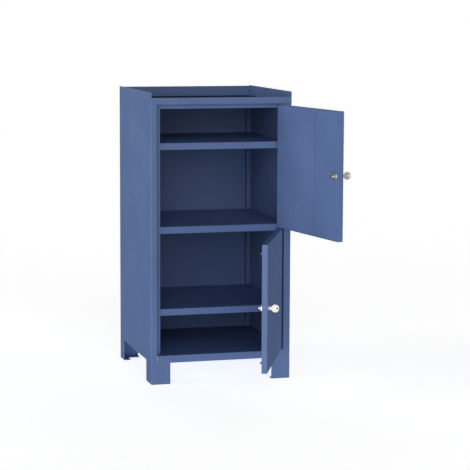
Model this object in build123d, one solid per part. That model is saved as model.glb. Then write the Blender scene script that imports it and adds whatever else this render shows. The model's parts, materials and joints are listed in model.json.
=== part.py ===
from build123d import *
import math
import os

# Locker cabinet in millimetres. Every piece is drawn in cabinet coordinates: X = 0 at the outer face
# of the left side, Y = 0 at the front face, +Y to the back, Z = 0 on the floor. The export then moves
# the origin to the middle of the base.

# ---- overall sizes
width = 500.0
depth = 520.0
height = 1010.6

# ---- sheet metal
sheet = 1.5                # carcass sheet
shelf_sheet = 1.2          # shelves, divider, floor and back
door_sheet = 1.2           # door skin and liner
bend = 2.0                 # bend radius at the middle of the sheet
hem_gap = 1.0              # space inside a folded-over edge
fit_gap = 0.2              # gap between welded pieces that meet edge to edge

# ---- posts, folded out of the side panels
lock_post = 21.5           # face width of the post beside the locks
hinge_post = 25.0          # face width of the post beside the hinges
lock_stop = 15.6           # width of the door-stop flange on the lock side
hinge_stop = 12.0          # width of the door-stop flange on the hinge side
rear_post = 16.0           # width of the closed post at the back
rear_recess = 13.0         # from the back face forward to the front of the rear posts
rear_groove = 5.0          # upright groove between a rear post and the back panel
back_margin = 2.0          # the back panel's flanges end this far inside the side faces

# ---- feet
foot_height = 74.5
foot_width = 67.0
front_foot_depth = 83.0
rear_foot_depth = 68.0
sole_width = 22.0
sole_sheet = 3.0

# ---- top tray
deck_drop = 40.4           # from the top of the sides down to the deck
front_lip = 22.2           # front lip above the deck
back_lip_drop = 2.0        # the back lip ends this far below the sides
side_hem = 15.0            # folded-over depth along the top of the sides
lip_hem = 9.0              # folded-over depth along the front and back lips
hem_break = 315.0          # from the front face to the relief slit in the side hem
slit = 2.0
top_stop_drop = 15.2       # height of the door stop under the deck
top_stop_leg = 20.0
mat_thickness = 3.5
mat_margin = 5.0           # from the mat's edge to the tray's walls

# ---- floor, divider and shelves
floor_rail = 26.3          # height of the front rail under the floor panel
divider_flange = 24.6
shelf_flange = 23.5
shelf_side_gap = 1.0       # from a loose shelf to the side panels
return_lip = 12.0          # inward return at the foot of each flange
upper_shelf_drop = 133.3   # deck underside down to the upper shelf
lower_shelf_rise = 158.8   # floor up to the lower shelf
rest_length = 30.0
rest_leg = 14.0
rest_drop = 16.0
rest_setback = 60.0        # from a shelf's front or rear edge to its rests

# ---- doors
door_depth = 19.0
door_setback = 0.5         # door face behind the post faces
lock_gap = 3.5             # from the free edge to the lock post
hinge_gap = 4.0            # from the hinge edge to the hinge post
door_corner = 2.0          # outside radius of the door's folds
liner_gap = 0.15
liner_flange = 6.0
liner_round = 1.4          # outside radius of the liner's folds
groove_from_hinge = 284.0
groove_width = 10.0
groove_depth = 5.0
groove_end = 13.0          # from the groove's ends to the door's edges
upper_door_angle = 99.6    # degrees open, as the cabinet is stored
lower_door_angle = 66.8

# ---- hinges: pins in plates on the hinge post
hinge_plate = 2.5
hinge_play = 1.0           # from a hinge plate to the door beside it
pin_radius = 2.25
pin_clearance = 0.05
pin_inset = 4.5            # from the door's hinge edge to the pin
pin_setback = 5.0          # from the door's face to the pin
pin_reach = 8.0            # pin length inside a door
plate_edge = 4.5           # hinge plate beyond the pin's centre
bush_wall = 0.65
bush_rim = 1.2
bush_rim_height = 0.7
block_size = (11.0, 11.0, 8.0)
block_round = 1.0

# ---- rubber buffers
buffer_radius = 4.0
buffer_stem = 2.5
buffer_from_edge = 6.5
buffer_from_top = 30.0
buffer_from_bottom = 35.0
buffer_height = 5.3        # above the liner
buffer_clearance = 0.2     # from a buffer to the door-stop flange when the door is shut

# ---- locks: one cam lock in each door
lock_inset = 19.0          # from the door's free edge to the lock's axis
lock_lift = 1.5            # lock above the middle of the door
rosette_radius = 12.5
rosette_height = 2.2
barrel_radius = 9.3
barrel_clearance = 0.3     # barrel in front of the door-stop flange
nut_flats = 24.0
nut_height = 4.6
plug_radius = 6.0
plug_clearance = 0.08
plug_proud = 0.6           # plug beyond the rosette
plug_rear = 0.1            # plug beyond the barrel's rear end
tail_radius = 4.0
cam_sheet = 3.0
cam_width = 16.0
cam_reach = 26.0           # lock axis to the cam's tip
cam_clearance = 0.6        # cam behind the door-stop flange
screw_radius = 2.0
screw_head_radius = 5.0
screw_head_height = 2.6
screw_length = 8.0
slot_width = 2.4
slot_height = 8.4
slot_depth = 23.0

# ---- keys
key_sheet = 2.0
key_slack = 0.3            # key blade to the keyway, up and down
key_standoff = 0.4         # key shoulder in front of the plug
blade_length = 21.0
neck_length = 9.0
neck_width = 10.0
bow_radius = 13.0
ring_hole = 3.0
ring_from_rim = 6.0
bit_count = 4
bit_pitch = 3.6
bit_depth = 1.4

# ---- levels and planes worked out from the sizes above
half = sheet / 2
door_back = door_setback + door_depth
stop_depth = door_back + buffer_height + buffer_clearance
deck_top = height - deck_drop
deck_under = deck_top - sheet
front_lip_top = deck_top + front_lip
back_lip_top = height - back_lip_drop
floor_top = foot_height + floor_rail
door_height = (deck_under - floor_top - 3 * hinge_plate - 4 * hinge_play) / 2
lower_door_bottom = floor_top + hinge_plate + hinge_play
upper_door_bottom = lower_door_bottom + door_height + 2 * hinge_play + hinge_plate
middle_plate_z = lower_door_bottom + door_height + hinge_play
divider_top = middle_plate_z + (hinge_plate + divider_flange) / 2
upper_shelf_top = deck_under - upper_shelf_drop
lower_shelf_top = floor_top + lower_shelf_rise
rear_plane = depth - rear_recess
post_rear = depth - shelf_sheet
back_edge = rear_post + rear_groove
behind_stop = stop_depth + sheet + fit_gap
hinge_face = width - hinge_post
door_left = lock_post + lock_gap
door_right = hinge_face - hinge_gap
pin_x = door_right - pin_inset
pin_y = door_setback + pin_setback
bush_radius = pin_radius + pin_clearance + bush_wall
lock_x = door_left + lock_inset
barrel_rear = stop_depth - barrel_clearance
plug_front = door_setback - rosette_height - plug_proud
plug_back = barrel_rear + plug_rear
cam_front = stop_depth + sheet + cam_clearance
cam_end = cam_front + cam_sheet


def span(x0, x1, y0, y1, z0, z1):
    """A box between two corners."""
    return Pos(x0, y0, z0) * Box(x1 - x0, y1 - y0, z1 - z0, align=(Align.MIN,) * 3)


def fold_up(points, z0, z1, thick=sheet, radius=bend):
    """Sheet folded along upright bends: points run along the middle of the sheet, seen from above."""
    line = FilletPolyline(*points, radius=radius) if len(points) > 2 else Polyline(*points)
    return Pos(0, 0, z0) * extrude(trace(line, line_width=thick), amount=z1 - z0)


def fold_across(points, x0, x1, thick=sheet, radius=bend):
    """Sheet folded along bends that run left to right: points are (Y, Z)."""
    section = trace(FilletPolyline(*points, radius=radius), line_width=thick)
    return Pos(x0, 0, 0) * extrude(Plane.YZ * section, amount=x1 - x0, dir=(1, 0, 0))


def rod(radius, centre, start, end):
    """An upright cylinder from one level to another."""
    return Pos(centre[0], centre[1], start) * Cylinder(
        radius, end - start, align=(Align.CENTER, Align.CENTER, Align.MIN))


def barrel(radius, centre, start, end):
    """A cylinder lying along Y: centre is (X, Z)."""
    lying = Pos(centre[0], start, centre[1]) * Rot(-90, 0, 0)
    return lying * Cylinder(radius, end - start, align=(Align.CENTER, Align.CENTER, Align.MIN))


# ---- carcass

def side_panel(post, stop):
    """One folded sheet: post and door stop, side, closed rear post and the faces of both feet."""
    front = [(post + stop, stop_depth + half), (post - half, stop_depth + half), (post - half, half)]
    rear = [
        (rear_post - half, post_rear - half),
        (rear_post - half, rear_plane + half),
        (sheet + fit_gap, rear_plane + half),
    ]
    corner_front = (half, half)
    corner_rear = (half, post_rear - half)
    open_front = [(post - half, stop_depth + sheet), (post - half, half)]
    panel = fold_up(front + [corner_front, corner_rear] + rear, floor_top, deck_under)
    panel += fold_up(open_front + [corner_front, corner_rear] + rear, foot_height, floor_top)
    panel += fold_up([(half, 0), corner_rear] + rear, deck_under, back_lip_top)
    panel += fold_up([(foot_width, half), corner_front, (half, front_foot_depth)], 0, foot_height)
    panel += fold_up([(half, depth - rear_foot_depth), corner_rear, (foot_width, post_rear - half)],
                     0, foot_height)
    return panel + side_lip()


def side_lip():
    """The folded-over top edge of a side panel, with a relief slit across it."""
    inner = half + sheet + hem_gap
    path = [(half, back_lip_top - sheet), (half, height - half), (inner, height - half),
            (inner, height - side_hem)]
    section = trace(FilletPolyline(*path, radius=(sheet + hem_gap) / 2 - 0.05), line_width=sheet)
    lip = Pos(0, bend, 0) * extrude(Plane.XZ * section, amount=post_rear - 2 * bend, dir=(0, 1, 0))
    low = height - side_hem - sheet
    return lip - span(sheet + 0.1, sheet * 3 + hem_gap, hem_break, hem_break + slit, low, height)


def back_panel():
    """Folded sheet, level with the front of the rear posts, with flanges on the posts' rear faces."""
    middle = rear_plane + shelf_sheet / 2
    flange = depth - shelf_sheet / 2
    left = back_edge + shelf_sheet / 2
    right = width - left
    path = [(back_margin, flange), (left, flange), (left, middle), (right, middle), (right, flange),
            (width - back_margin, flange)]
    return fold_up(path, foot_height, back_lip_top - sheet - hem_gap, shelf_sheet, bend - 0.4)


def top_tray():
    """Deck with a folded-over front lip, and a back lip that folds over the back panel's top edge."""
    mid = deck_top - half
    fold = half + sheet + hem_gap
    back_lip = rear_plane - half
    back_fold = back_lip + sheet + shelf_sheet + fit_gap
    path = [(back_fold, back_lip_top - lip_hem), (back_fold, back_lip_top - half),
            (back_lip, back_lip_top - half), (back_lip, mid), (half, mid),
            (half, front_lip_top - half), (fold, front_lip_top - half), (fold, front_lip_top - lip_hem)]
    tray = fold_across(path, sheet, width - sheet, sheet, (sheet + hem_gap) / 2 - 0.05)
    low = height - side_hem - fit_gap
    notch = span(0, sheet * 2 + hem_gap + fit_gap, rear_plane - sheet * 2, rear_plane, low, height)
    notch += span(0, back_edge + shelf_sheet + fit_gap, rear_plane, depth, low, height)
    return tray - notch - mirror_across(notch)


def mirror_across(piece):
    """The same piece on the other side of the cabinet."""
    return mirror(piece, about=Plane.YZ.offset(width / 2))


def top_door_stop():
    """Angle strip under the deck that the upper door shuts against."""
    low = deck_under - top_stop_drop
    path = [(stop_depth + half, low), (stop_depth + half, deck_under - half),
            (stop_depth + top_stop_leg, deck_under - half)]
    left = lock_post + lock_stop + fit_gap
    right = hinge_face - hinge_stop - fit_gap
    return fold_across(path, left, right)


def tray_mat():
    """Rubber sheet lying on the deck."""
    inside = sheet * 2 + hem_gap + mat_margin
    back = rear_plane - sheet - mat_margin
    plate = span(inside, width - inside, inside, back, deck_top, deck_top + mat_thickness)
    return fillet(plate.edges().filter_by(Axis.Z), mat_margin)


def pan(top, flange, nose_y, nose_left, nose_right, side, rear):
    """Shelf sheet with flanges turned down all round; its nose can reach between the door stops."""
    t = shelf_sheet
    h = t / 2
    low = top - flange + h
    path = [(nose_y + return_lip, low), (nose_y + h, low), (nose_y + h, top - h),
            (rear - h, top - h), (rear - h, low)]
    body = fold_across(path, nose_left, nose_right, t, bend - 0.4)
    wing_front = max(nose_y, behind_stop)
    low_edge = top - flange
    body += span(side, width - side, wing_front, rear - bend, top - t, top)
    for x in (side, width - side - t):
        body += span(x, x + t, wing_front, rear - bend, low_edge, top)
    return body


def middle_divider():
    """Fixed floor between the two lockers; its front flange is also a door stop."""
    left = lock_post + lock_stop + fit_gap
    right = hinge_face - hinge_stop - fit_gap
    return pan(divider_top, divider_flange, stop_depth, left, right, sheet, rear_plane)


def floor_panel():
    """Bottom of the lower locker, with the front rail between the posts."""
    left = lock_post + fit_gap
    right = hinge_face - fit_gap
    return pan(floor_top, floor_rail, 0, left, right, sheet, rear_plane)


def shelf(top):
    """Loose shelf behind the door-stop flanges."""
    side = sheet + shelf_side_gap
    rear = rear_plane - shelf_side_gap
    return pan(top, shelf_flange, behind_stop, side, width - side, side, rear)


def shelf_rests(top):
    """Four angle pieces on the side panels that carry a shelf."""
    seat = top - shelf_flange
    rests = []
    for y in (behind_stop + rest_setback, rear_plane - rest_setback - rest_length):
        leg = span(sheet, sheet * 2, y, y + rest_length, seat - rest_drop, seat)
        seat_plate = span(sheet, sheet + rest_leg, y, y + rest_length, seat - sheet, seat)
        rest = leg + seat_plate
        rests += [rest, mirror_across(rest)]
    return rests


def foot_soles():
    """Angle-shaped plates flush with the bottom of the four feet."""
    soles = []
    for y, reach, way in ((sheet, front_foot_depth, 1), (post_rear - sheet, rear_foot_depth - shelf_sheet, -1)):
        far = y + way * (reach - sheet)
        near = y + way * sole_width
        along = span(sheet, sheet + sole_width, min(y, far), max(y, far), 0, sole_sheet)
        across = span(sheet, foot_width, min(y, near), max(y, near), 0, sole_sheet)
        sole = along + across
        corner = sole.edges().filter_by(Axis.Z).sort_by_distance((sheet, y, 0))[0]
        sole = chamfer(corner, bend)
        soles += [sole, mirror_across(sole)]
    return soles


# ---- hinges

def hinge_levels():
    """Underside of each hinge plate, from the floor up."""
    return (floor_top, middle_plate_z, deck_under - hinge_plate)


def hinge_plates():
    """Flat plates welded to the hinge post, one below, between and above the doors."""
    plates = []
    for z in hinge_levels():
        plate = span(pin_x - plate_edge, hinge_face, pin_y - plate_edge, stop_depth, z, z + hinge_plate)
        upright = plate.edges().filter_by(Axis.Z)
        weld_corner = upright.sort_by_distance((hinge_face, stop_depth, z))[0]
        plate = chamfer(weld_corner, bend)
        free_corner = plate.edges().filter_by(Axis.Z).sort_by_distance((0, 0, z))[0]
        plate = fillet(free_corner, plate_edge - fit_gap)
        plates.append(plate - rod(pin_radius, (pin_x, pin_y), z - 1, z + hinge_plate + 1))
    return plates


def end_hinge_pins():
    """The pins in the lowest and highest hinge plates."""
    centre = (pin_x, pin_y)
    low = rod(pin_radius, centre, floor_top, lower_door_bottom + pin_reach)
    high = rod(pin_radius, centre, upper_door_bottom + door_height - pin_reach, deck_under)
    return [low, high]


def middle_hinge_pin():
    """The pin that both doors share."""
    start = lower_door_bottom + door_height - pin_reach
    return rod(pin_radius, (pin_x, pin_y), start, upper_door_bottom + pin_reach)


# ---- doors, drawn shut

def door_skin(bottom):
    """Outer pan: face and four flanges."""
    top = bottom + door_height
    outer = span(door_left, door_right, door_setback, door_back, bottom, top)
    rear_edges = outer.faces().sort_by(Axis.Y)[-1].edges()
    outer = fillet([e for e in outer.edges() if e not in rear_edges], door_corner)
    t = door_sheet
    inner = span(door_left + t, door_right - t, door_setback + t, door_back + door_depth, bottom + t, top - t)
    rear_edges = inner.faces().sort_by(Axis.Y)[-1].edges()
    inner = fillet([e for e in inner.edges() if e not in rear_edges], door_corner - t)
    skin = outer - inner - rod(bush_radius, (pin_x, pin_y), bottom - 1, top + 1)
    return skin - barrel(barrel_radius, (lock_x, lock_z(bottom)), door_setback - 1, door_setback + t + 1)


def capsule(radius, x, y, z0, z1):
    """An upright round-ended rod."""
    ends = Pos(x, y, z0) * Sphere(radius) + Pos(x, y, z1) * Sphere(radius)
    return rod(radius, (x, y), z0, z1) + ends


def door_liner(bottom):
    """Inner sheet with short flanges and one pressed upright groove."""
    inset = door_sheet + liner_gap
    t = door_sheet
    box = (door_left + inset, door_right - inset, door_back - liner_flange, door_back,
           bottom + inset, bottom + door_height - inset)
    liner = span(*box)
    front_edges = liner.faces().sort_by(Axis.Y)[0].edges()
    liner = fillet([e for e in liner.edges() if e not in front_edges], liner_round)
    hollow = span(box[0] + t, box[1] - t, box[2] - 1, box[3] - t, box[4] + t, box[5] - t)
    liner -= hollow
    curve = (groove_width ** 2 / 4 + groove_depth ** 2) / (2 * groove_depth)
    x = door_right - groove_from_hinge
    y = door_back + curve - groove_depth
    z0 = bottom + groove_end + groove_width / 2
    z1 = bottom + door_height - groove_end - groove_width / 2
    wall = capsule(curve + t, x, y, z0, z1)
    liner += wall & span(box[0], box[1], box[2], box[3] - t / 2, box[4], box[5])
    liner -= capsule(curve, x, y, z0, z1)
    liner -= barrel(barrel_radius, (lock_x, lock_z(bottom)), box[2] - 1, door_back + 1)
    for z in buffer_levels(bottom):
        liner -= barrel(buffer_stem, (door_left + buffer_from_edge, z), door_back - t - 1, door_back + 1)
    return liner


def hinge_blocks(bottom):
    """Small blocks inside the door that hold the hinge bushes."""
    top = bottom + door_height
    long_x, long_y, tall = block_size
    right = door_right - door_sheet - liner_gap
    front = door_setback + door_sheet + liner_gap
    blocks = []
    for z in (bottom + door_sheet, top - door_sheet - tall):
        block = span(right - long_x, right, front, front + long_y, z, z + tall)
        block = fillet(block.edges(), block_round)
        blocks.append(block - rod(bush_radius, (pin_x, pin_y), bottom - 1, top + 1))
    return blocks


def hinge_bushes(bottom):
    """Nylon bushes with a rim that runs against the hinge plates."""
    top = bottom + door_height
    centre = (pin_x, pin_y)
    bushes = []
    for z, way in ((bottom, 1), (top, -1)):
        inner_end = z + way * (pin_reach + bush_rim_height)
        rim_end = z - way * bush_rim_height
        body = rod(bush_radius, centre, min(z, inner_end), max(z, inner_end))
        rim = rod(bush_radius + bush_rim, centre, min(z, rim_end), max(z, rim_end))
        bore = rod(pin_radius + pin_clearance, centre, z - 2 * pin_reach, z + 2 * pin_reach)
        bushes.append(body + rim - bore)
    return bushes


def buffer_levels(bottom):
    """Heights of a door's two buffers."""
    return (bottom + buffer_from_bottom, bottom + door_height - buffer_from_top)


def door_buffers(bottom):
    """Rubber studs on the liner that meet the door-stop flange."""
    tip = stop_depth - buffer_clearance
    studs = []
    for z in buffer_levels(bottom):
        centre = (door_left + buffer_from_edge, z)
        head = barrel(buffer_radius, centre, door_back, tip)
        head = fillet(head.edges().sort_by(Axis.Y)[-1], 1.2)
        studs.append(head + barrel(buffer_stem, centre, door_back - door_sheet, door_back))
    return studs


# ---- locks, drawn in the shut door

def lock_z(bottom):
    """Height of a door's lock."""
    return bottom + door_height / 2 + lock_lift


def lock_housing(bottom):
    """Rosette and threaded barrel."""
    centre = (lock_x, lock_z(bottom))
    rosette = barrel(rosette_radius, centre, door_setback - rosette_height, door_setback)
    rosette = fillet(rosette.edges().sort_by(Axis.Y)[0], 1.4)
    housing = rosette + barrel(barrel_radius, centre, door_setback, barrel_rear)
    return housing - barrel(plug_radius + plug_clearance, centre, -bow_radius, barrel_rear + 1)


def lock_nut(bottom):
    """Hexagon nut that holds the lock against the liner."""
    z = lock_z(bottom)
    hexagon = RegularPolygon(nut_flats / math.sqrt(3), 6)
    nut = extrude(hexagon, amount=nut_height)
    nut = chamfer(nut.faces().sort_by(Axis.Z)[-1].edges(), 0.6)
    nut -= Cylinder(barrel_radius, 4 * nut_height)
    return Pos(lock_x, door_back, z) * Rot(-90, 0, 0) * Rot(0, 0, 30) * nut


def lock_plug(bottom):
    """Turning plug with its keyway in front and a round tail for the cam."""
    z = lock_z(bottom)
    plug = barrel(plug_radius, (lock_x, z), plug_front, plug_back)
    plug = fillet(plug.edges().sort_by(Axis.Y)[0], 0.5)
    plug += barrel(tail_radius, (lock_x, z), plug_back, cam_end)
    plug -= span(lock_x - slot_width / 2, lock_x + slot_width / 2, plug_front - 1, plug_front + slot_depth,
                 z - slot_height / 2, z + slot_height / 2)
    return plug - barrel(screw_radius, (lock_x, z), cam_end - screw_length, cam_end + 1)


def lock_cam(bottom):
    """Flat tongue that turns half a turn to lie behind the door-stop flange; drawn unlocked."""
    z = lock_z(bottom)
    round_radius = cam_width / 2
    tip = lock_x + cam_reach - round_radius
    cam = barrel(round_radius, (lock_x, z), cam_front, cam_end)
    cam += barrel(round_radius, (tip, z), cam_front, cam_end)
    cam += span(lock_x, tip, cam_front, cam_end, z - round_radius, z + round_radius)
    return cam - barrel(tail_radius, (lock_x, z), cam_front - 1, cam_end + 1)


def cam_screw(bottom):
    """Pan-head screw that holds the cam on the plug."""
    centre = (lock_x, lock_z(bottom))
    head = barrel(screw_head_radius, centre, cam_end, cam_end + screw_head_height)
    head = fillet(head.edges().sort_by(Axis.Y)[-1], 1.0)
    return head + barrel(screw_radius, centre, cam_end - screw_length, cam_end)


def key(bottom):
    """Flat key with a round bow, in the keyway."""
    z = lock_z(bottom)
    shoulder = plug_front - key_standoff
    blade_half = slot_height / 2 - key_slack
    bow_y = shoulder - neck_length - bow_radius + 2
    thick = key_sheet / 2
    left = lock_x - thick
    right = lock_x + thick
    blade = span(left, right, shoulder, shoulder + blade_length, z - blade_half, z + blade_half)
    for i in range(bit_count):
        y = shoulder + blade_length - (i + 1) * bit_pitch
        notch = Pos(lock_x, y, z - blade_half) * Rot(45, 0, 0) * Box(key_sheet * 2, bit_depth, bit_depth)
        blade -= notch
    neck = span(left, right, bow_y, shoulder, z - neck_width / 2, z + neck_width / 2)
    disc = Pos(left, bow_y, z) * Rot(0, 90, 0) * Cylinder(
        bow_radius, key_sheet, align=(Align.CENTER, Align.CENTER, Align.MIN))
    ring = Pos(lock_x, bow_y - bow_radius + ring_from_rim, z) * Rot(0, 90, 0) * Cylinder(ring_hole, 3 * key_sheet)
    return blade + neck + disc - ring


# ---- assembly

def opened(piece, angle):
    """Swing a piece of a door about the hinge pin."""
    return Pos(pin_x, pin_y, 0) * Rot(0, 0, angle) * Pos(-pin_x, -pin_y, 0) * piece


nodes = {
    "left_side_panel": side_panel(lock_post, lock_stop),
    "right_side_panel": mirror_across(side_panel(hinge_post, hinge_stop)),
    "back_panel": back_panel(),
    "top_tray": top_tray(),
    "top_door_stop": top_door_stop(),
    "tray_mat": tray_mat(),
    "middle_divider": middle_divider(),
    "floor_panel": floor_panel(),
    "upper_shelf": shelf(upper_shelf_top),
    "lower_shelf": shelf(lower_shelf_top),
    "upper_shelf_rests": shelf_rests(upper_shelf_top),
    "lower_shelf_rests": shelf_rests(lower_shelf_top),
    "foot_soles": foot_soles(),
    "hinge_plates": hinge_plates(),
    "end_hinge_pins": end_hinge_pins(),
    "middle_hinge_pin": middle_hinge_pin(),
}

door_pieces = {
    "door_skin": door_skin,
    "door_liner": door_liner,
    "door_hinge_blocks": hinge_blocks,
    "door_hinge_bushes": hinge_bushes,
    "door_buffers": door_buffers,
    "lock_housing": lock_housing,
    "lock_nut": lock_nut,
    "lock_plug": lock_plug,
    "lock_cam": lock_cam,
    "cam_screw": cam_screw,
    "key": key,
}

doors = {
    "upper": (upper_door_bottom, upper_door_angle),
    "lower": (lower_door_bottom, lower_door_angle),
}

for door, (bottom, angle) in doors.items():
    for name, make in door_pieces.items():
        made = make(bottom)
        pieces = made if isinstance(made, list) else [made]
        nodes[f"{door}_{name}"] = [opened(piece, angle) for piece in pieces]

to_origin = Pos(-width / 2, -depth / 2, 0)
os.makedirs("parts", exist_ok=True)
for name, made in nodes.items():
    pieces = made if isinstance(made, list) else [made]
    placed = [to_origin * piece for piece in pieces]
    whole = placed[0] if len(placed) == 1 else Compound(children=placed)
    export_step(whole, f"parts/{name}.step")

print("door height", round(door_height, 2), "pin", round(pin_x, 2), round(pin_y, 2), "lock x", lock_x)
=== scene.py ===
import json
import math

import bmesh
import bpy
from mathutils import Matrix, Vector


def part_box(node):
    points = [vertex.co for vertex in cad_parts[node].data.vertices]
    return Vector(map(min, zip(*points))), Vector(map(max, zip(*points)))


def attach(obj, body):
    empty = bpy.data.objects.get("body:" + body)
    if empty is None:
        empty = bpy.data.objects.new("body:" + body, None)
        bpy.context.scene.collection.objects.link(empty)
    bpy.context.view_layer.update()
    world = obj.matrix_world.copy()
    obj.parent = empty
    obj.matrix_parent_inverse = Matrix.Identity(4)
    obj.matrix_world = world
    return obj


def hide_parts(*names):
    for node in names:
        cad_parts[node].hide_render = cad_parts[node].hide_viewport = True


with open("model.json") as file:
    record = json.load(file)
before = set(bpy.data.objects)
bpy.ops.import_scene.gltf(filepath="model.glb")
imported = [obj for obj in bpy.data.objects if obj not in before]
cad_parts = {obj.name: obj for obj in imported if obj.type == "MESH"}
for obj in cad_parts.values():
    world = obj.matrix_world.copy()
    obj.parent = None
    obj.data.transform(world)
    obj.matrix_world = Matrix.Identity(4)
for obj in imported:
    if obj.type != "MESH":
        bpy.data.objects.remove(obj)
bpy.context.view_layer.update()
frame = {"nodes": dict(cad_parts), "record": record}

MM = 0.001

# ---- what the record says about each node

RECORD = frame["record"]
BODY_OF = {node: body for body, group in RECORD["behaviour"]["bodies"].items() for node in group}
SLOT_OF = {row["node"]: row["material_slot"] for row in RECORD["subparts"]}
JOINT = {joint["name"]: joint for joint in RECORD["behaviour"]["joints"]}


# ---- finishes

PAINT_DARK = (0.091, 0.148, 0.318)
PAINT_LIGHT = (0.103, 0.164, 0.343)


class Finish:
    """A material being made, with short calls for the nodes that it uses."""

    def __init__(self, name):
        self.material = bpy.data.materials.new(name)
        self.material.use_nodes = True
        self.tree = self.material.node_tree
        self.shader = self.tree.nodes["Principled BSDF"]
        self.place = self.add("ShaderNodeTexCoord").outputs["Object"]

    def add(self, kind, **settings):
        node = self.tree.nodes.new(kind)
        for key, value in settings.items():
            setattr(node, key, value)
        return node

    def link(self, source, target):
        self.tree.links.new(source, target)

    def noise(self, scale, detail=2.0, roughness=0.5, place=None):
        """Cloudy noise with about scale lumps to the metre."""
        node = self.add("ShaderNodeTexNoise")
        node.inputs["Scale"].default_value = scale
        node.inputs["Detail"].default_value = detail
        node.inputs["Roughness"].default_value = roughness
        self.link(place or self.place, node.inputs["Vector"])
        return node.outputs["Fac"]

    def stretched(self, x, y, z):
        """The piece's coordinates, stretched by a factor along each axis."""
        node = self.add("ShaderNodeMapping")
        node.inputs["Scale"].default_value = (x, y, z)
        self.link(self.place, node.inputs["Vector"])
        return node.outputs["Vector"]

    def ramp(self, value, low, high, start=0.35, end=0.65):
        """A colour or a grey that runs from low to high as value runs from start to end."""
        node = self.add("ShaderNodeValToRGB")
        for element, place, colour in zip(node.color_ramp.elements, (start, end), (low, high)):
            element.position = place
            element.color = (*colour, 1) if isinstance(colour, tuple) else (colour, colour, colour, 1)
        self.link(value, node.inputs["Fac"])
        return node.outputs["Color"]

    def darkened(self, colour, by):
        """A colour multiplied by another."""
        node = self.add("ShaderNodeMix", data_type="RGBA", blend_type="MULTIPLY")
        node.inputs["Factor"].default_value = 1.0
        self.link(colour, node.inputs["A"])
        self.link(by, node.inputs["B"])
        return node.outputs["Result"]

    def bump(self, height, strength, distance, under=None):
        """Relief from height, distance metres deep, on top of another relief if there is one."""
        node = self.add("ShaderNodeBump")
        node.inputs["Strength"].default_value = strength
        node.inputs["Distance"].default_value = distance
        self.link(height, node.inputs["Height"])
        if under:
            self.link(under, node.inputs["Normal"])
        return node.outputs["Normal"]

    def set(self, **values):
        """Link what varies over the surface, set the rest on the shader, and hand over the material."""
        for key, value in values.items():
            socket = self.shader.inputs[key.replace("_", " ").title().replace("Ior", "IOR")]
            if isinstance(value, bpy.types.NodeSocket):
                self.link(value, socket)
            else:
                socket.default_value = (*value, 1) if isinstance(value, tuple) else value
        return self.material


def powder_coat():
    """Blue powder coat: satin, very finely pebbled, with faint clouding over large areas."""
    coat = Finish("blue_powder_coat")
    clouds = coat.ramp(coat.noise(5, 3), PAINT_DARK, PAINT_LIGHT)
    speckle = coat.ramp(coat.noise(420, 2), (0.93, 0.93, 0.93), (1.0, 1.0, 1.0))
    gloss = coat.ramp(coat.noise(60, 4), 0.40, 0.50)
    pebbles = coat.bump(coat.noise(900, 2, 0.6), 0.25, 0.1 * MM)
    waves = coat.bump(coat.noise(14, 1), 0.10, 0.6 * MM, pebbles)
    return coat.set(base_color=coat.darkened(clouds, speckle), roughness=gloss, normal=waves,
                    metallic=0.0, specular_ior_level=0.28)


def plated_steel(name, dark, light, smooth, rough, grain):
    """Plated steel with fine drawn marks along its grain and slight clouding of its gloss."""
    plate = Finish(name)
    drawn = plate.noise(1.0, 3, 0.7, plate.stretched(*grain))
    colour = plate.ramp(drawn, dark, light, 0.3, 0.7)
    gloss = plate.ramp(plate.noise(260, 4), smooth, rough)
    scratches = plate.bump(drawn, 0.12, 0.05 * MM)
    return plate.set(base_color=colour, roughness=gloss, normal=scratches, metallic=1.0)


def nylon():
    """White moulded nylon of the hinge bushes."""
    plastic = Finish("white_nylon")
    colour = plastic.ramp(plastic.noise(300, 3), (0.72, 0.72, 0.68), (0.80, 0.80, 0.76))
    gloss = plastic.ramp(plastic.noise(150, 2), 0.38, 0.5)
    grain = plastic.bump(plastic.noise(700, 2), 0.15, 0.05 * MM)
    return plastic.set(base_color=colour, roughness=gloss, normal=grain)


def rubber(name, dark, light, smooth, rough):
    """Soft rubber with a fine dull grain."""
    skin = Finish(name)
    colour = skin.ramp(skin.noise(90, 4), dark, light)
    gloss = skin.ramp(skin.noise(240, 3), smooth, rough)
    grain = skin.bump(skin.noise(1500, 2), 0.3, 0.08 * MM)
    return skin.set(base_color=colour, roughness=gloss, specular_ior_level=0.1, normal=grain)


MATERIALS = {
    "blue_powder_coat": powder_coat(),
    "zinc_steel": plated_steel("zinc_steel", (0.66, 0.66, 0.64), (0.80, 0.80, 0.78), 0.34, 0.46,
                               grain=(900, 900, 60)),
    "nickel": plated_steel("nickel", (0.56, 0.53, 0.50), (0.68, 0.65, 0.61), 0.44, 0.54,
                           grain=(700, 700, 700)),
    "white_nylon": nylon(),
    "clear_rubber": rubber("clear_rubber", PAINT_DARK, PAINT_LIGHT, 0.45, 0.6),
    "ribbed_rubber": rubber("ribbed_rubber", (0.006, 0.012, 0.028), (0.010, 0.018, 0.040), 0.62, 0.8),
}


# ---- folded sheet, and every other piece that keeps the shape of its CAD node

EDGE = 0.25 * MM                      # width of the rounding along a piece's edges
SAME_POINT = 0.002 * MM               # points closer than this are one point
SAME_FACE = math.radians(0.2)         # triangles flatter to each other than this are one face
ROUNDED_FROM = math.radians(40)       # edges that turn by more than this are rounded
SHARP_FROM = math.radians(38)         # and this much stays sharp in the shading


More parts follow.
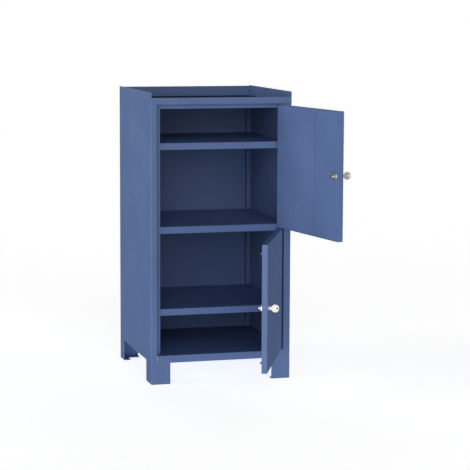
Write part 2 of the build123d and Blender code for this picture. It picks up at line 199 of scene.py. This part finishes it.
def clean_copy(node, edge=EDGE):
    """A merged copy of a CAD node with its flat faces whole and its edges softly rounded."""
    mesh = frame["nodes"][node].data.copy()
    work = bmesh.new()
    work.from_mesh(mesh)
    bmesh.ops.remove_doubles(work, verts=work.verts, dist=SAME_POINT)
    bmesh.ops.dissolve_limit(work, angle_limit=SAME_FACE, verts=work.verts, edges=work.edges)
    work.to_mesh(mesh)
    work.free()
    piece = bpy.data.objects.new(node + "_finish", mesh)
    bpy.context.scene.collection.objects.link(piece)
    return soften(piece, edge) if edge else piece


def soften(piece, edge):
    """Round a piece's sharp edges and keep its flat faces shaded flat."""
    bevel = piece.modifiers.new("edges", "BEVEL")
    bevel.width = edge
    bevel.segments = 2
    bevel.limit_method = "ANGLE"
    bevel.angle_limit = ROUNDED_FROM
    bevel.use_clamp_overlap = True
    bake_modifiers(piece)
    piece.data.shade_smooth()
    piece.data.set_sharp_from_angle(angle=SHARP_FROM)
    flat = piece.modifiers.new("flat faces", "WEIGHTED_NORMAL")
    flat.weight = 100
    flat.keep_sharp = True
    bake_modifiers(piece)
    return piece


def bake_modifiers(piece):
    """Turn a piece and its modifiers into one plain mesh."""
    graph = bpy.context.evaluated_depsgraph_get()
    graph.update()
    made = bpy.data.meshes.new_from_object(piece.evaluated_get(graph))
    piece.modifiers.clear()
    piece.data = made


def claim(piece, node):
    """Let a piece stand for a CAD node, in its finish and on its body."""
    slot = SLOT_OF[node]
    piece.data.materials.clear()
    piece.data.materials.append(MATERIALS[slot])
    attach(piece, BODY_OF[node])
    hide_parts(node)


# ---- the ribbed mat in the tray

MAT_RIB = 1.0 * MM           # radius of a rib, and its height above the sheet
MAT_PITCH = 4.0 * MM         # from one rib to the next
MAT_BORDER = 5.0 * MM        # plain border around the ribs
RIB_SIDES = 12               # flats around a rib


def rib_tree():
    """Round ribs from left to right, side by side, joined to the sheet that comes in."""
    tree = bpy.data.node_groups.new("mat_ribs", "GeometryNodeTree")
    nodes, links = tree.nodes, tree.links
    tree.interface.new_socket("Sheet", in_out="INPUT", socket_type="NodeSocketGeometry")
    for name, kind in (("First Rib", "NodeSocketVector"), ("Rib Length", "NodeSocketFloat"),
                       ("Rib Radius", "NodeSocketFloat"), ("Pitch", "NodeSocketFloat"),
                       ("Ribs", "NodeSocketInt"), ("Rubber", "NodeSocketMaterial")):
        tree.interface.new_socket(name, in_out="INPUT", socket_type=kind)
    tree.interface.new_socket("Mat", in_out="OUTPUT", socket_type="NodeSocketGeometry")
    given = nodes.new("NodeGroupInput").outputs

    # one rib: a line from left to right with a circle drawn along it
    end = nodes.new("ShaderNodeCombineXYZ")
    links.new(given["Rib Length"], end.inputs["X"])
    middle = nodes.new("GeometryNodeCurvePrimitiveLine")
    links.new(end.outputs["Vector"], middle.inputs["End"])
    circle = nodes.new("GeometryNodeCurvePrimitiveCircle")
    circle.inputs["Resolution"].default_value = RIB_SIDES
    links.new(given["Rib Radius"], circle.inputs["Radius"])
    rib = nodes.new("GeometryNodeCurveToMesh")
    rib.inputs["Fill Caps"].default_value = True
    links.new(middle.outputs["Curve"], rib.inputs["Curve"])
    links.new(circle.outputs["Curve"], rib.inputs["Profile Curve"])

    # all ribs: copies from the front of the mat to its back
    step = nodes.new("ShaderNodeCombineXYZ")
    links.new(given["Pitch"], step.inputs["Y"])
    places = nodes.new("GeometryNodeMeshLine")
    links.new(given["Ribs"], places.inputs["Count"])
    links.new(given["First Rib"], places.inputs["Start Location"])
    links.new(step.outputs["Vector"], places.inputs["Offset"])
    ribs = nodes.new("GeometryNodeInstanceOnPoints")
    links.new(places.outputs["Mesh"], ribs.inputs["Points"])
    links.new(rib.outputs["Mesh"], ribs.inputs["Instance"])

    # the sheet and its ribs, as one mesh in rubber
    join = nodes.new("GeometryNodeJoinGeometry")
    links.new(given["Sheet"], join.inputs["Geometry"])
    links.new(ribs.outputs["Instances"], join.inputs["Geometry"])
    real = nodes.new("GeometryNodeRealizeInstances")
    links.new(join.outputs["Geometry"], real.inputs["Geometry"])
    paint = nodes.new("GeometryNodeSetMaterial")
    links.new(real.outputs["Geometry"], paint.inputs["Geometry"])
    links.new(given["Rubber"], paint.inputs["Material"])
    links.new(paint.outputs["Geometry"], nodes.new("NodeGroupOutput").inputs["Mat"])
    return tree


def give(piece, tree, **values):
    """Run a node tree on a piece with the given inputs, and keep the result as a plain mesh."""
    modifier = piece.modifiers.new("shape", "NODES")
    modifier.node_group = tree
    sockets = {item.name: item.identifier for item in tree.interface.items_tree if item.in_out == "INPUT"}
    for name, value in values.items():
        modifier[sockets[name.replace("_", " ").title()]] = value
    bake_modifiers(piece)


def ribbed_mat(node):
    """The mat's sheet, thinner by the height of a rib, with ribs over all but its border."""
    low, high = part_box(node)
    piece = clean_copy(node)
    for vertex in piece.data.vertices:
        if vertex.co.z > (low[2] + high[2]) / 2:
            vertex.co.z -= MAT_RIB
    length = high[0] - low[0] - 2 * MAT_BORDER
    count = int((high[1] - low[1] - 2 * MAT_BORDER) / MAT_PITCH)
    start_y = (low[1] + high[1] - (count - 1) * MAT_PITCH) / 2
    give(piece, rib_tree(), first_rib=(low[0] + MAT_BORDER, start_y, high[2] - MAT_RIB),
         rib_length=length, rib_radius=MAT_RIB, pitch=MAT_PITCH, ribs=count,
         rubber=MATERIALS[SLOT_OF[node]])
    return piece


# ---- cam screws and keys

RECESS_ARM = 5.6 * MM        # across the cross recess of a cam screw
RECESS_SLOT = 1.3 * MM       # width of each of its slots
RECESS_SINK = 1.4 * MM       # its depth
SCREW_EDGE = 0.12 * MM
BOW_RADIUS = 13.0 * MM       # a key's round bow
BOW_RIM = 2.2 * MM           # width of the plain rim around it
BOW_SINK = 0.3 * MM          # depth of the round field inside the rim
KEY_SHEET = 2.0 * MM         # thickness of a key
FIELD_CUTTER = 1.0 * MM      # thickness of the disc that cuts the field
KEY_EDGE = 0.15 * MM


def facing(axis):
    """A turn that brings +Z onto axis and keeps X level."""
    out = Vector(axis).normalized()
    side = Vector((0, 0, 1)).cross(out).normalized()
    return Matrix((side, out.cross(side), out)).transposed().to_4x4()


def cut(piece, place, solids):
    """Cut boxes and discs out of a piece. Each is (kind, size, shift), in the frame that place gives."""
    work = bmesh.new()
    for kind, size, shift in solids:
        spot = place @ Matrix.Translation(shift)
        if kind == "box":
            bmesh.ops.create_cube(work, size=1.0, matrix=spot @ Matrix.Diagonal((*size, 1)))
        else:
            radius, thickness = size
            bmesh.ops.create_cone(work, cap_ends=True, segments=64, radius1=radius, radius2=radius,
                                  depth=thickness, matrix=spot)
    mesh = bpy.data.meshes.new("cutter")
    work.to_mesh(mesh)
    work.free()
    cutter = bpy.data.objects.new("cutter", mesh)
    bpy.context.scene.collection.objects.link(cutter)
    boolean = piece.modifiers.new("cut", "BOOLEAN")
    boolean.operation = "DIFFERENCE"
    boolean.solver = "EXACT"
    boolean.use_self = True
    boolean.object = cutter
    bake_modifiers(piece)
    bpy.data.objects.remove(cutter)


def lock_axis(node):
    """The way the node's lock points, out of its door."""
    door = node.split("_")[0]
    return Vector(JOINT[door + "_lock_turn"]["axis"])


def reach(piece, way):
    """The least and the greatest distance of a piece's points along a direction."""
    along = [vertex.co.dot(way) for vertex in piece.data.vertices]
    return min(along), max(along)


def point_on_middle(node, way, along):
    """The point that lies along metres in direction way, beside the middle of the node's box."""
    low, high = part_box(node)
    centre = (Vector(low) + Vector(high)) / 2
    return centre + way * (along - centre.dot(way))


def cross_screw(node):
    """Pan-head screw with a cross recess in its head, the end that points into the cabinet."""
    axis = lock_axis(node)
    piece = clean_copy(node, 0)
    head = point_on_middle(node, axis, reach(piece, axis)[0])
    deep = 2 * RECESS_SINK
    cut(piece, Matrix.Translation(head) @ facing(axis),
        [("box", (RECESS_ARM, RECESS_SLOT, deep), (0, 0, 0)),
         ("box", (RECESS_SLOT, RECESS_ARM, deep), (0, 0, 0))])
    return soften(piece, SCREW_EDGE)


def rimmed_key(node):
    """Flat key whose bow has a sunk round field on both faces, inside a plain rim."""
    axis = lock_axis(node)
    flat_side = Vector((0, 0, 1)).cross(axis).normalized()
    piece = clean_copy(node, 0)
    bow = point_on_middle(node, axis, reach(piece, axis)[1] - BOW_RADIUS)
    field = (BOW_RADIUS - BOW_RIM, FIELD_CUTTER)
    offset = KEY_SHEET / 2 - BOW_SINK + FIELD_CUTTER / 2
    cut(piece, Matrix.Translation(bow) @ facing(flat_side),
        [("disc", field, (0, 0, offset)), ("disc", field, (0, 0, -offset))])
    return soften(piece, KEY_EDGE)


for node in frame["nodes"]:
    if node == "tray_mat":
        claim(ribbed_mat(node), node)
    elif node.endswith("_cam_screw"):
        claim(cross_screw(node), node)
    elif node.endswith("_key"):
        claim(rimmed_key(node), node)
    else:
        claim(clean_copy(node), node)


# ---- floor, light and camera

FLOOR_REACH = 400.0          # metres from the cabinet to the floor's edges
FLOOR_GLOW = 0.74
ROOM_LIGHT = 0.02            # strength of the room's own light on the cabinet
ROOM_IN_FRONT = 0.4          # what the cabinet mirrors of the room in front of it
ROOM_BEHIND = 0.03           # and of the room behind it
ROOM_SHADES_OVER = 0.3       # half the span of mirrored directions over which it darkens

# name, strength, spread in degrees, and the way it shines
LIGHTS = (
    ("left_light", 2.6, 40, (1.0, 0.0, 0.0)),
    ("corner_light", 1.2, 45, (0.6, 0.8, 0.0)),
    ("front_light", 0.85, 40, (0.1, 0.95, -0.3)),
    ("right_light", 0.40, 60, (-1.0, 0.15, -0.2)),
    ("back_light", 0.5, 60, (-0.2, -1.0, -0.4)),
)

SENSOR = 36.0                # millimetres
LENS = 136.5
CAMERA_PLACE = (-1.6016, -6.1701, 1.2971)
CAMERA_YAW = math.radians(15.594)      # turned to the right
CAMERA_PITCH = math.radians(-7.266)    # looking down
CAMERA_ROLL = math.radians(0.235)
SEES_TO = 200                # metres


def stage_floor():
    """A wide pale floor that glows faintly, like a lit studio table."""
    r = FLOOR_REACH
    mesh = bpy.data.meshes.new("floor")
    mesh.from_pydata([(-r, -r, 0), (r, -r, 0), (r, r, 0), (-r, r, 0)], [], [(0, 1, 2, 3)])
    floor = bpy.data.objects.new("floor", mesh)
    bpy.context.scene.collection.objects.link(floor)
    paper = Finish("pale_floor")
    shade = paper.ramp(paper.noise(3), (0.90, 0.90, 0.90), (0.92, 0.92, 0.92))
    mesh.materials.append(paper.set(base_color=shade, roughness=0.9, specular_ior_level=0.0,
                                    emission_color=(1.0, 1.0, 1.0), emission_strength=FLOOR_GLOW))
    floor.visible_glossy = False


def room():
    """A white backdrop. What shines on the cabinet mirrors a room bright in front and dim behind."""
    world = bpy.data.worlds.new("studio")
    world.use_nodes = True
    nodes, links = world.node_tree.nodes, world.node_tree.links
    way = nodes.new("ShaderNodeSeparateXYZ")
    links.new(nodes.new("ShaderNodeTexCoord").outputs["Generated"], way.inputs["Vector"])
    mirrored = nodes.new("ShaderNodeMapRange")
    for name, value in (("From Min", -ROOM_SHADES_OVER), ("From Max", ROOM_SHADES_OVER),
                        ("To Min", ROOM_IN_FRONT), ("To Max", ROOM_BEHIND)):
        mirrored.inputs[name].default_value = value
    links.new(way.outputs["Y"], mirrored.inputs["Value"])

    rays = nodes.new("ShaderNodeLightPath")
    light = nodes["Background"]
    light.inputs["Color"].default_value = (1.0, 1.0, 1.0, 1)
    light.inputs["Strength"].default_value = ROOM_LIGHT
    shown = light
    for ray in ("Is Glossy Ray", "Is Camera Ray"):
        other = nodes.new("ShaderNodeBackground")
        other.inputs["Color"].default_value = (1.0, 1.0, 1.0, 1)
        other.inputs["Strength"].default_value = 1.0
        if ray == "Is Glossy Ray":
            links.new(mirrored.outputs["Result"], other.inputs["Strength"])
        choose = nodes.new("ShaderNodeMixShader")
        links.new(rays.outputs[ray], choose.inputs["Fac"])
        links.new(shown.outputs[0], choose.inputs[1])
        links.new(other.outputs[0], choose.inputs[2])
        shown = choose
    links.new(shown.outputs[0], nodes["World Output"].inputs["Surface"])
    bpy.context.scene.world = world


def lights():
    """Broad soft lights from far away: mostly from the left and the front."""
    for name, strength, spread, shines in LIGHTS:
        lamp = bpy.data.lights.new(name, "SUN")
        lamp.energy = strength
        lamp.angle = math.radians(spread)
        light = bpy.data.objects.new(name, lamp)
        light.rotation_mode = "QUATERNION"
        light.rotation_quaternion = Vector(shines).to_track_quat("-Z", "Y")
        bpy.context.scene.collection.objects.link(light)


def camera():
    """A long lens, standing in front and to the left at about head height."""
    data = bpy.data.cameras.new("camera")
    data.sensor_width = SENSOR
    data.lens = LENS
    data.clip_end = SEES_TO
    cam = bpy.data.objects.new("camera", data)
    yaw, pitch, roll = CAMERA_YAW, CAMERA_PITCH, CAMERA_ROLL
    forward = Vector((math.sin(yaw) * math.cos(pitch), math.cos(yaw) * math.cos(pitch), math.sin(pitch)))
    right = Vector((math.cos(yaw), -math.sin(yaw), 0))
    up = right.cross(forward)
    leaned_right = right * math.cos(roll) + up * math.sin(roll)
    leaned_up = up * math.cos(roll) - right * math.sin(roll)
    turn = Matrix((leaned_right, leaned_up, -forward)).transposed()
    cam.matrix_world = Matrix.Translation(CAMERA_PLACE) @ turn.to_4x4()
    bpy.context.scene.collection.objects.link(cam)
    bpy.context.scene.camera = cam


stage_floor()
room()
lights()
camera()
bpy.context.scene.view_settings.view_transform = "Standard"
